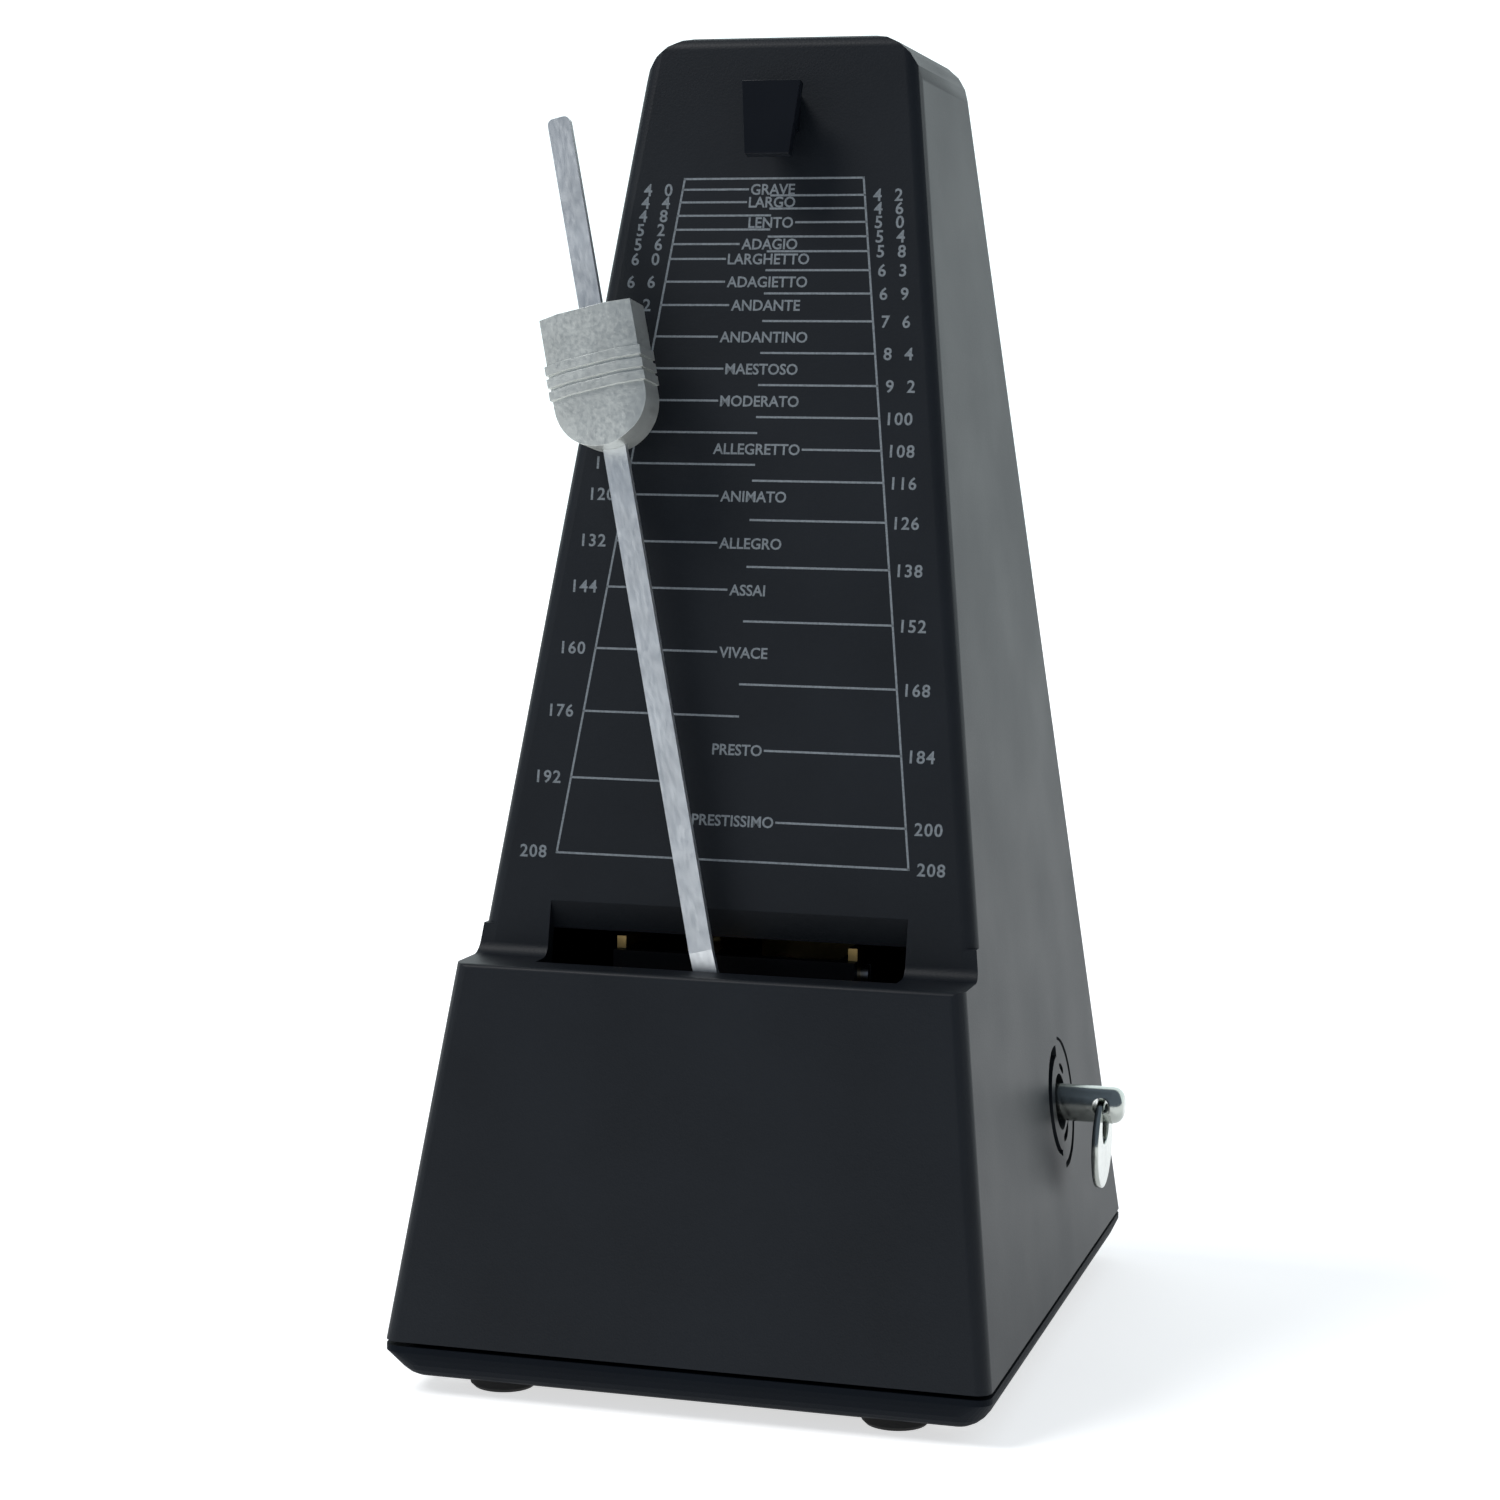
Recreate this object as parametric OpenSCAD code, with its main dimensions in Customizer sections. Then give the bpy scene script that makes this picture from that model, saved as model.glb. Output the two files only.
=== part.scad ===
// Pyramid metronome with a wind-up movement, a swinging rod and a sliding weight.
// Frame: X to the right, Y to the back, Z up. The origin is on the table, under the body's centre.

/* [Body] */
// Width of the body at the seam above the base tray
body_w = 97.2; // [84:0.1:118]
// Depth of the body at the seam above the base tray
body_d = 125.6; // [108:0.1:152]
// Height of the whole metronome
body_h = 215.5; // [200:0.5:250]
// Inward lean of the left and right faces, in degrees
side_lean = 7.24; // [6:0.01:8]
// Backward lean of the front faces, in degrees
front_lean = 10.8; // [9:0.1:11.5]
// Forward lean of the back face, in degrees
back_lean = 10.2; // [8:0.1:11.5]
// Wall thickness of the case shell
wall = 2.5; // [1.6:0.1:3.2]
// Rounding of the standing edges
edge_r = 2.6; // [1:0.1:4]
// Rounding of the top's left and right edges
top_r = 8.6; // [5:0.1:11]

/* [Ledge] */
// Height of the ledge that the rod comes out of
ledge_h = 67.2; // [64:0.1:80]
// Distance from the lower front face back to the scale plate
plate_setback = 11.4; // [10:0.1:14]
// Width of the slot in the ledge
slot_w = 58.8; // [50:0.1:64]
// Width of the flat strip between the ledge's front edge and the slot
slot_lip = 5.6; // [4.5:0.1:6.2]
// Height of the scooped pocket above the ledge
scoop_h = 9; // [4:0.1:14]

/* [Base] */
// Height of the rubber feet below the tray
foot_h = 2; // [1:0.1:4]
// Diameter of a rubber foot
foot_d = 10.8; // [8:0.1:14]
// Height of the seam between the tray and the shell
seam_h = 8.5; // [7.5:0.1:12]
// Shadow gap at the seam
seam_gap = 0.7; // [0.3:0.1:1.2]

/* [Pendulum] */
// Height of the pendulum's pivot
pivot_h = 61; // [58:0.1:62]
// Lean of the rod to the left at rest, in degrees
rest_tilt = 13.5; // [0:0.1:25]
// Length of the rod above the pivot, measured upright
rod_reach = 144.5; // [120:0.5:150]
// Width of the flat rod
rod_w = 3.8; // [3:0.1:5]
// Thickness of the flat rod
rod_t = 1.2; // [0.8:0.1:1.6]
// Backward lean of the rod above its bend, in degrees
rod_lean = 8.4; // [7:0.1:9]
// Width of the sliding weight
bob_w = 15.6; // [12:0.1:20]
// Height of the sliding weight
bob_h = 22.4; // [18:0.1:28]
// Thickness of the sliding weight
bob_t = 8; // [7:0.1:9]
// Distance from the pivot up to the sliding weight's lower end at rest
bob_reach = 90; // [20:0.5:110]
// Diameter of the counterweight
counter_d = 30; // [26:0.5:32]

/* [Winding key] */
// Distance of the winding arbor behind the body's centre
key_back = 15.5; // [12:0.1:20]
// Height of the winding arbor
key_h = 37.5; // [34:0.1:42]
// Diameter of the key pin
key_d = 6.3; // [5:0.1:7]
// Length of the key pin outside the case
key_out = 11.1; // [9:0.1:14]
// Diameter of the key's folding ring
ring_d = 15.5; // [12.5:0.1:16]

/* [Movement] */
// Distance between the movement plates' outer faces
frame_w = 40; // [38:0.5:46]
// Thickness of the movement plates
plate_t = 1.5; // [1:0.1:2]
// Gear module of the first pair
mod_1 = 0.7; // [0.6:0.05:0.7]
// Gear module of the second pair
mod_2 = 0.6; // [0.5:0.05:0.6]
// Running clearance of shafts in their bores
run_fit = 0.05; // [0.02:0.01:0.1]

/* [Hidden] */
$fn = 48;

eps = 0.01;

// Faces of the pyramid at a height
function side_x(z) = body_w / 2 - tan(side_lean) * (z - seam_h);
function front_y(z) = -body_d / 2 + tan(front_lean) * (z - seam_h);
function plate_y(z) = front_y(z) + plate_setback;
function back_y(z) = body_d / 2 - tan(back_lean) * (z - seam_h);

// Base tray
tray_floor = 2.2;
tray_wall = 2.6;
tray_top = seam_h - seam_gap;
tray_floor_z = foot_h + tray_floor;
post_x = body_w / 2 - 8.6;
post_y = body_d / 2 - 12.8;
post_r = 4;
foot_x = body_w / 2 - 16.6;
foot_y = body_d / 2 - 10.8;

// Ledge
ledge_edge_r = 1;
ledge_fillet = 2.4;
scoop_depth = 4.5;

// Pendulum
lip_y = front_y(ledge_h) + slot_lip;
rod_y = lip_y + 0.5;
bend_z = ledge_h + 3.3;
staff_r = 1.5;
counter_t = 14;
counter_drop = 36;
hub_t = 6.4;
hub_r = 4.6;
rivet_up = 3;
rivet_head = 0.4;
bob_front = bob_t - rod_t - 2.2;
facet_half = 4.1;
facet_fall = 1.4;
ridge_from = 9.1;
ridge_pitch = 2.06;
ridge_h = 1.5;
ridge_out = 0.35;

// Movement frame, behind the pendulum's plane
frame_x = frame_w / 2;
frame_front = rod_y + rod_t + hub_t + 5.2;
frame_back = key_back + 24.4;
frame_bottom = tray_floor_z + 7;
frame_top = pivot_h + 9;
flange_w = 8;
mount_x = frame_x + 4;
mount_y = [frame_front + 9, frame_back - 10];

// Arbors, as [y, z]
arbor_1 = [key_back, key_h];
teeth = [56, 12, 48, 10];
reach_12 = mod_1 * (teeth[0] + teeth[1]) / 2;
reach_23 = mod_2 * (teeth[2] + teeth[3]) / 2;
angle_12 = 132.5;
arbor_2 = arbor_1 + reach_12 * [cos(angle_12), sin(angle_12)];
angle_23 = 180 - asin((pivot_h - arbor_2[1]) / reach_23);
arbor_3 = arbor_2 + reach_23 * [cos(angle_23), sin(angle_23)];
arbor_1_r = 2.5;
arbor_2_r = 1.5;
arbor_3_r = 1.2;

// Places along the arbors
ratchet_x = 9.5;
ratchet_t = 2.7;
great_x = 13;
great_t = 3;
wheel_2_x = -14;
wheel_2_t = 2;
spring_x = -9;
spring_w = 17;
crown_x = -10;
crown_r = 12;
crown_teeth = 15;
crown_tip_x = -4;
ratchet_teeth = 24;
ratchet_r = 9;
click_reach = 13.4;

// Pillars between the plates, as [y, z]; the first one holds the mainspring's end
pillar_r = 2.5;
hook_reach = 24;
hook_angle = 245;
pillars = [
    arbor_1 + hook_reach * [cos(hook_angle), sin(hook_angle)],
    [frame_front + 6, frame_bottom + 5],
    [frame_back - 4, frame_bottom + 5],
    [frame_back - 6, frame_top - 7],
    [frame_front + 4, pivot_h - 13]
];

// Winding key
key_wall_x = side_x(key_h);
key_end = key_wall_x + key_out;
key_socket = frame_x + 6;
key_gap = 1.65;
ring_x = key_end - 3.8;
ring_t = 1.2;
ring_hinge = [ring_x, key_back, key_h + 0.2];
ring_neck = 1.9;

// Rod catch
catch_z = body_h - 15.3;
catch_out = 7.4;
catch_lip = 2.1;
catch_half_h = 6;
catch_shift = 0.6;
catch_screw_z = 2.5;
screw_r = 1.2;

// ---------- helpers ----------

// Draws along X what is given in the YZ plane, from x to x + t
module along_x(x, t) {
    translate([x, 0, 0]) rotate([90, 0, 90]) linear_extrude(t) children();
}

module rod_x(at, r, x, t) {
    translate([x, at[0], at[1]]) rotate([0, 90, 0]) cylinder(r = r, h = t);
}

module rod_y_dir(x, z, r, y, t) {
    translate([x, y, z]) rotate([-90, 0, 0]) cylinder(r = r, h = t);
}

module screw_x(at, x, len, dir = 1, r = 1, head = 2) {
    translate([x, at[0], at[1]]) rotate([0, 90 * dir, 0]) difference() {
        union() {
            cylinder(r = r, h = len);
            translate([0, 0, -1.2]) cylinder(r = head, h = 1.2);
        }
        translate([-head, -0.25, -1.2 - eps]) cube([2 * head, 0.5, 0.5]);
    }
}

module screw_up(x, y, z, len, r = 1.2, head = 2.6) {
    translate([x, y, z]) difference() {
        union() {
            cylinder(r = r, h = len);
            translate([0, 0, -1.4]) cylinder(r = head, h = 1.4);
        }
        translate([-head, -0.3, -1.4 - eps]) cube([2 * head, 0.6, 0.7]);
        translate([-0.3, -head, -1.4 - eps]) cube([0.6, 2 * head, 0.7]);
    }
}

// Local frame on the scale plate: -Y out of it, Z up along it
module on_plate(z) {
    translate([0, plate_y(z), z]) rotate([-front_lean, 0, 0]) children();
}

// The pendulum is drawn upright and leaned to its rest position
module swung() {
    translate([0, 0, pivot_h]) rotate([0, -rest_tilt, 0]) translate([0, 0, -pivot_h]) children();
}

// Local frame on the rod above its bend: Z along the rod
module on_rod() {
    translate([0, rod_y, bend_z]) rotate([-rod_lean, 0, 0]) children();
}

// Corner points of an outline, each rounded with its own radius by an arc of a few points
function arc_corner(a, p, b, r, steps = 5) = let (
    u = (a - p) / norm(a - p), v = (b - p) / norm(b - p),
    half = acos(u * v) / 2, m = (u + v) / norm(u + v),
    c = p + m * r / sin(half), start = p + u * r / tan(half), w = start - c,
    turn = (180 - 2 * half) * sign(u[0] * v[1] - u[1] * v[0])
) r < 0.05 ? [p] : [for (i = [0:steps]) let (t = -turn * i / steps)
    c + [w[0] * cos(t) - w[1] * sin(t), w[0] * sin(t) + w[1] * cos(t)]];

function rounded(pts, radii) = let (n = len(pts))
    [for (i = [0:n - 1]) each arc_corner(pts[(i + n - 1) % n], pts[i], pts[(i + 1) % n], radii[i])];

// Outline seen from the front, for faces moved in by inset
module front_outline(inset) {
    k = inset / cos(side_lean);
    z0 = seam_h - 12;
    z1 = body_h - inset;
    r = max(top_r - inset, 1);
    rotate([90, 0, 0]) linear_extrude(2 * body_d, center = true) polygon(rounded(
        [[-side_x(z0) + k, z0], [side_x(z0) - k, z0], [side_x(z1) - k, z1], [-side_x(z1) + k, z1]],
        [0, 0, r, r]));
}

// Side view of the pyramid behind the scale plate
function pyramid_side(inset) = let (
    kf = inset / cos(front_lean), kb = inset / cos(back_lean), z0 = seam_h - 12, z1 = body_h - inset,
    r = max(edge_r - inset, 0)
) rounded([[plate_y(z0) + kf, z0], [back_y(z0) - kb, z0], [back_y(z1) - kb, z1], [plate_y(z1) + kf, z1]],
    [0, 0, r, r]);

// Side view of the block in front of it, with the fillet between ledge and plate
function block_side(inset) = let (
    kf = inset / cos(front_lean), z0 = seam_h - 12, z1 = ledge_h - inset,
    fillet = inset > 0 ? 0 : ledge_fillet, z2 = z1 + 2 * ledge_fillet, inside = plate_y(ledge_h) + 2 * wall
) rounded([[front_y(z0) + kf, z0], [inside, z0], [inside, fillet > 0 ? z2 : z1],
    each fillet > 0 ? [[plate_y(z2) + 0.02, z2], [plate_y(z1), z1]] : [],
    [front_y(z1) + kf, z1]],
    fillet > 0 ? [0, 0, 0, 0, fillet, ledge_edge_r] : [0, 0, 0, 0]);

// Removes what lies beyond a plane, given by its outward normal and a point on it
module cut_beyond(normal, at) {
    n = normal / norm(normal);
    translate(at) rotate([0, acos(n[2]), atan2(n[1], n[0])]) translate([-body_h, -body_h, 0])
        cube([2 * body_h, 2 * body_h, 20]);
}

// Rounds a standing edge: s is the side (-1 left, 1 right), y0 and face the leaning face that it meets
module edge_cuts(s, y0, face) {
    side = [s * cos(side_lean), 0, sin(side_lean)];
    axis_point = [s * (side_x(seam_h) - edge_r / cos(side_lean)),
        y0 - sign(face[1]) * edge_r / abs(face[1]), seam_h];
    for (t = [0.12:0.19:0.9]) {
        n = side * (1 - t) + face * t;
        cut_beyond(n, axis_point + edge_r * n / norm(n));
    }
}

front_face = [0, -cos(front_lean), sin(front_lean)];
back_face = [0, cos(back_lean), sin(back_lean)];

module case_outside() {
    difference() {
        intersection() {
            front_outline(0);
            along_x(-body_w, 2 * body_w) polygon(pyramid_side(0));
        }
        for (s = [-1, 1]) {
            edge_cuts(s, plate_y(seam_h), front_face);
            edge_cuts(s, back_y(seam_h), back_face);
        }
    }
    difference() {
        intersection() {
            front_outline(0);
            along_x(-body_w, 2 * body_w) polygon(block_side(0));
        }
        for (s = [-1, 1]) edge_cuts(s, front_y(seam_h), front_face);
    }
}

module case_inside(inset) {
    intersection() {
        front_outline(inset);
        along_x(-body_w, 2 * body_w) {
            polygon(pyramid_side(inset));
            polygon(block_side(inset));
        }
    }
}

// ---------- case ----------

// The slot in the ledge and the pocket scooped out of the plate above it, as one outline
module slot_cut() {
    low = ledge_h - wall - 4;
    top = ledge_h + scoop_h;
    back = plate_y(ledge_h) + 1.6 * wall;
    along_x(-slot_w / 2, slot_w) polygon([
        [lip_y, low], [lip_y, top + 6], [plate_y(top) - 0.8, top + 6], [plate_y(top) - 0.05, top],
        [plate_y(ledge_h) + scoop_depth, ledge_h + 1], [back, ledge_h - 0.3], [back, low]
    ]);
}

module case_shell() {
    color([0.07, 0.075, 0.08]) difference() {
        union() {
            difference() {
                case_outside();
                case_inside(wall);
            }
            intersection() {
                case_inside(wall / 2);
                for (sx = [-1, 1], sy = [-1, 1])
                    translate([sx * post_x, sy * post_y, seam_h]) cylinder(r = post_r, h = 26);
            }
        }
        translate([-body_w, -body_d, seam_h - 20]) cube([2 * body_w, 2 * body_d, 20]);
        for (sx = [-1, 1], sy = [-1, 1])
            translate([sx * post_x, sy * post_y, seam_h - 1]) cylinder(r = screw_r, h = 15);
        slot_cut();
        rod_x(arbor_1, key_d / 2 + key_gap, key_wall_x - 8, 16);
        on_plate(catch_z) translate([catch_shift, -1, catch_screw_z]) rotate([-90, 0, 0])
            cylinder(r = screw_r + 0.2, h = 12);
    }
}

module tray_outline(inset, z, h) {
    x = body_w / 2 - inset;
    y = body_d / 2 - inset;
    translate([0, 0, z]) linear_extrude(h)
        polygon(rounded([[-x, -y], [x, -y], [x, y], [-x, y]], [edge_r, edge_r, edge_r, edge_r]));
}

module base_tray() {
    round_r = tray_top - foot_h;
    color([0.06, 0.065, 0.07]) difference() {
        union() {
            difference() {
                union() {
                    hull() {
                        for (sx = [-1, 1], sy = [-1, 1]) {
                            translate([sx * (body_w / 2 - round_r), sy * (body_d / 2 - round_r), tray_top])
                                sphere(round_r, $fn = 28);
                            translate([sx * (body_w / 2 - edge_r), sy * (body_d / 2 - edge_r), tray_top - 1])
                                cylinder(r = edge_r, h = 1, $fn = 28);
                        }
                    }
                    tray_outline(wall + 0.5, tray_top - 1, seam_gap + 3);
                }
                translate([-body_w, -body_d, tray_top]) cube([2 * body_w, 2 * body_d, 20]);
            }
            difference() {
                tray_outline(wall + 0.7, tray_top - 1, seam_gap + 3.2);
                tray_outline(wall + 2.4, tray_top - 2, 20);
                for (sx = [-1, 1], sy = [-1, 1])
                    translate([sx * post_x, sy * post_y, seam_h]) cylinder(r = post_r + 0.5, h = 20);
            }
        }
        difference() {
            tray_outline(tray_wall + 3, tray_floor_z, 20);
            for (sx = [-1, 1], sy = [-1, 1])
                translate([sx * post_x, sy * post_y, foot_h]) cylinder(r = post_r + 0.4, h = seam_h - foot_h);
            for (sx = [-1, 1], y = mount_y)
                translate([sx * mount_x, y, foot_h]) cylinder(r = post_r, h = frame_bottom - foot_h);
        }
        for (sx = [-1, 1], sy = [-1, 1]) {
            translate([sx * post_x, sy * post_y, foot_h - 1]) cylinder(r = screw_r + 0.3, h = 20);
            translate([sx * post_x, sy * post_y, foot_h - 1]) cylinder(r = 3.2, h = 3);
            translate([sx * foot_x, sy * foot_y, foot_h - 1]) cylinder(r = 2, h = 10);
        }
        for (sx = [-1, 1], y = mount_y)
            translate([sx * mount_x, y, tray_floor_z]) cylinder(r = screw_r, h = 20);
    }
}

module rubber_feet() {
    color([0.04, 0.04, 0.04]) for (sx = [-1, 1], sy = [-1, 1]) translate([sx * foot_x, sy * foot_y, 0]) {
        rotate_extrude() polygon([[0, 0], [foot_d / 2 - 0.6, 0], [foot_d / 2, 0.6], [foot_d / 2, foot_h],
            [2, foot_h], [2, tray_floor_z], [2.6, tray_floor_z], [1.6, tray_floor_z + 1.6],
            [0, tray_floor_z + 1.6]]);
    }
}

module base_screws() {
    color("silver") for (sx = [-1, 1], sy = [-1, 1])
        screw_up(sx * post_x, sy * post_y, foot_h + 2, 14, screw_r);
}

module rod_catch() {
    color([0.03, 0.03, 0.035]) on_plate(catch_z) translate([catch_shift, 0, 0]) difference() {
        union() {
            translate([0, -catch_out, 0]) rotate([-90, 0, 0]) linear_extrude(catch_lip)
                polygon([[-4.85, -catch_half_h], [4.85, -catch_half_h], [3.65, catch_half_h],
                    [-3.65, catch_half_h]]);
            translate([-3.2, -catch_out + 1, -0.5]) cube([6.4, catch_out - 1, catch_half_h + 0.1]);
        }
        translate([-6, -catch_out, catch_half_h]) rotate([45, 0, 0]) cube([12, 0.9, 0.9], center = false);
        translate([0, -4, catch_screw_z]) rotate([-90, 0, 0]) cylinder(r = screw_r, h = 10);
    }
}

module catch_screw() {
    color("silver") on_plate(catch_z) translate([catch_shift, wall + 0.02, catch_screw_z]) rotate([90, 0, 0])
        difference() {
            union() {
                cylinder(r = screw_r, h = wall + 3.5);
                translate([0, 0, -1.4]) cylinder(r = 2.4, h = 1.4);
            }
            translate([-3, -0.3, -1.5]) cube([6, 0.6, 0.7]);
        }
}

// ---------- movement frame ----------

module frame_plate(side) {
    x = side > 0 ? frame_x - plate_t : -frame_x;
    difference() {
        union() {
            translate([x, frame_front, frame_bottom])
                cube([plate_t, frame_back - frame_front, frame_top - frame_bottom]);
            translate([side > 0 ? x : x + plate_t - flange_w - plate_t, frame_front + 4, frame_bottom])
                cube([flange_w + plate_t, frame_back - frame_front - 8, plate_t]);
        }
        for (p = pillars) rod_x(p, 1.1, x - 1, plate_t + 2);
        for (y = mount_y) translate([side * mount_x, y, 0]) cylinder(r = screw_r + 0.2, h = 40);
        rod_x(arbor_1, 4, x - 1, plate_t + 2);
        rod_x(arbor_2, 3, x - 1, plate_t + 2);
        if (side < 0) rod_x(arbor_3, 3, x - 1, plate_t + 2);
        for (z = bridge_screw_z) rod_x([frame_front + 4, z], 1, x - 1, plate_t + 2);
        if (side > 0) for (y = potence_screw_y) rod_x([y, pivot_h + 5], 1, x - 1, plate_t + 2);
    }
}

bridge_screw_z = [pivot_h - 4.2, pivot_h + 4.2];
potence_y = arbor_3[0] + crown_r + 2.6;
potence_screw_y = [potence_y + 3.4, potence_y + 8];

module left_plate() { color([0.78, 0.66, 0.36]) frame_plate(-1); }
module right_plate() { color([0.78, 0.66, 0.36]) frame_plate(1); }

module plate_pillars() {
    inside = frame_w - 2 * plate_t;
    color([0.7, 0.71, 0.72]) for (p = pillars) difference() {
        rod_x(p, pillar_r, -inside / 2, inside);
        rod_x(p, 1, -inside / 2 - eps, 6);
        rod_x(p, 1, inside / 2 - 6 + eps, 6);
    }
}

module pillar_screws() {
    color("silver") for (p = pillars) {
        screw_x(p, -frame_x, 6, 1);
        screw_x(p, frame_x, 6, -1);
    }
}

module movement_screws() {
    color("silver") for (sx = [-1, 1], y = mount_y)
        translate([0, 0, frame_bottom + plate_t]) translate([sx * mount_x, y, 0]) rotate([180, 0, 0])
            screw_up(0, 0, 0, 6, screw_r);
}

module front_bridge() {
    t = 2;
    color([0.1, 0.1, 0.11]) difference() {
        union() {
            translate([-frame_x, frame_front - t, pivot_h - 7]) cube([frame_w, t, 14]);
            for (s = [-1, 1]) translate([s > 0 ? frame_x - plate_t - 1.5 : -frame_x + plate_t,
                frame_front - t, pivot_h - 7]) cube([1.5, t + 8, 14]);
        }
        rod_y_dir(0, pivot_h, 3, frame_front - 8, 16);
        for (z = bridge_screw_z) rod_x([frame_front + 4, z], 1, -frame_x - 1, frame_w + 2);
    }
}

module bridge_screws() {
    color("silver") for (z = bridge_screw_z) {
        screw_x([frame_front + 4, z], -frame_x, 3, 1, 1, 1.8);
        screw_x([frame_front + 4, z], frame_x, 3, -1, 1, 1.8);
    }
}

module rear_potence() {
    right = frame_x - plate_t;
    color([0.78, 0.66, 0.36]) difference() {
        union() {
            translate([-4, potence_y, pivot_h - 0.6]) cube([right + 4, 2.5, 6.6]);
            translate([-4, potence_y, pivot_h - 3.8]) cube([8, 2.5, 5]);
            translate([right - 1.2, potence_y, pivot_h - 0.6]) cube([1.2, 10.6, 8]);
        }
        rod_y_dir(0, pivot_h, 2.6, potence_y - 2, 8);
        for (y = potence_screw_y) rod_x([y, pivot_h + 5], 1, right - 4, 8);
    }
}

module potence_screws() {
    color("silver") for (y = potence_screw_y) screw_x([y, pivot_h + 5], frame_x, 2.7, -1, 1, 1.8);
}

module bush_x(at, outer, inner, x, t) {
    difference() {
        rod_x(at, outer, x, t);
        rod_x(at, inner, x - 1, t + 2);
    }
}

module staff_bushes() {
    color([0.8, 0.6, 0.3]) {
        difference() {
            rod_y_dir(0, pivot_h, 3, frame_front - 2.5, 3);
            rod_y_dir(0, pivot_h, staff_r + run_fit, frame_front - 4, 6);
        }
        difference() {
            rod_y_dir(0, pivot_h, 2.6, potence_y - 0.3, 3.1);
            rod_y_dir(0, pivot_h, staff_r + run_fit, potence_y - 2, 8);
        }
    }
}

module winding_bushes() {
    color([0.8, 0.6, 0.3]) for (x = [-frame_x - 0.5, frame_x - plate_t - 1])
        bush_x(arbor_1, 4, arbor_1_r + run_fit, x, plate_t + 1.5);
}

module second_bushes() {
    color([0.8, 0.6, 0.3]) for (x = [-frame_x - 0.5, frame_x - plate_t - 0.6])
        bush_x(arbor_2, 3, arbor_2_r + run_fit, x, plate_t + 1.1);
}

module escape_bush() {
    color([0.8, 0.6, 0.3]) difference() {
        union() {
            rod_x(arbor_3, 3, -frame_x - 0.5, 5);
            rod_x(arbor_3, 3.8, -frame_x + plate_t, 1);
        }
        rod_x(arbor_3, arbor_3_r + run_fit, -frame_x - 2, 12);
    }
}

// ---------- gears ----------

function inv(a) = tan(a) * 180 / PI - a;

// Half the angle that a tooth covers at a radius, for an involute flank thinned by play
function half_tooth(r, m, n, play) = let (rp = m * n / 2, rb = rp * cos(20), q = max(r, rb))
    90 / n + inv(20) - inv(acos(min(1, rb / q))) - play / q * 180 / PI;

module gear_shape(m, n, phase, play = 0.1) {
    rp = m * n / 2;
    root = rp - 1.2 * m;
    tip = rp + 0.9 * m;
    radii = [root, rp - 0.45 * m, rp, rp + 0.45 * m, tip];
    points = [for (i = [0:n - 1], side = [-1, 1], k = [0:4])
        let (r = side < 0 ? radii[k] : radii[4 - k], a = phase + i * 360 / n + side * half_tooth(r, m, n, play))
        r * [cos(a), sin(a)]];
    polygon(points);
}

module gear(at, m, n, phase, bore, x, t) {
    difference() {
        along_x(x, t) translate(at) gear_shape(m, n, phase);
        rod_x(at, bore, x - 1, t + 2);
    }
}

// ---------- winding arbor, key and great wheel ----------

module winding_arbor() {
    color([0.62, 0.63, 0.65]) rod_x(arbor_1, arbor_1_r, -frame_x - 1.5, frame_x + 1.5 + key_socket + 6);
}

module spring_collet() {
    color([0.62, 0.63, 0.65]) bush_x(arbor_1, 4.2, arbor_1_r, spring_x, spring_w);
}

module key_pin() {
    color([0.8, 0.81, 0.82]) difference() {
        translate([0, key_back, key_h]) rotate([90, 0, 90]) rotate_extrude() polygon(concat(
            [[arbor_1_r, key_socket], [key_d / 2, key_socket]],
            [for (a = [0:15:75]) [key_d / 2 - 2 + 2 * cos(a), key_end - 2 + 2 * sin(a)]],
            [[key_d / 2 - 2, key_end], [0, key_end], [0, key_socket + 6], [arbor_1_r, key_socket + 6]]));
        translate([ring_hinge[0], 0, ring_hinge[2]]) rotate([-90, 0, 0]) cylinder(r = 1.45, h = 60);
    }
}

module key_ring() {
    hole_r = 3.45;
    top = ring_hinge[2] + ring_neck / 2;
    centre = top - ring_d / 2;
    flat = top - ring_neck;
    color([0.8, 0.81, 0.82]) along_x(ring_x - ring_t / 2, ring_t) difference() {
        translate([key_back, centre]) circle(d = ring_d, $fn = 64);
        translate([key_back, flat - 2.6]) circle(hole_r);
        translate([key_back - hole_r, flat - 2.6]) square([2 * hole_r, 2.6]);
    }
}

module ratchet_wheel() {
    n = ratchet_teeth;
    color([0.62, 0.63, 0.65]) difference() {
        along_x(ratchet_x, ratchet_t) translate(arbor_1) polygon([for (i = [0:n - 1], k = [0, 1])
            let (a = (i + k * 0.12) * 360 / n, r = k == 0 ? ratchet_r : ratchet_r - 1.5) r * [cos(a), sin(a)]]);
        rod_x(arbor_1, arbor_1_r, ratchet_x - 1, ratchet_t + 2);
    }
}

module great_wheel() {
    color([0.78, 0.66, 0.36]) difference() {
        gear(arbor_1, mod_1, teeth[0], angle_12, arbor_1_r + run_fit, great_x, great_t);
        for (a = [30:60:330]) if (a != 90 && a != 150)
            rod_x(arbor_1 + 12.5 * [cos(a), sin(a)], 3.6, great_x - 1, great_t + 2);
        rod_x(click_pivot, 0.9, great_x - 1, great_t + 2);
        rod_x(click_foot, 0.9, great_x - 1, great_t + 2);
    }
}

module retaining_ring() {
    color([0.62, 0.63, 0.65]) bush_x(arbor_1, 4.6, arbor_1_r, great_x + great_t + 0.2, 0.8);
}

click_pivot = arbor_1 + click_reach * [cos(90), sin(90)];
click_foot = arbor_1 + click_reach * [cos(150), sin(150)];
click_x = ratchet_x + 0.4;
click_t = 2;

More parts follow.
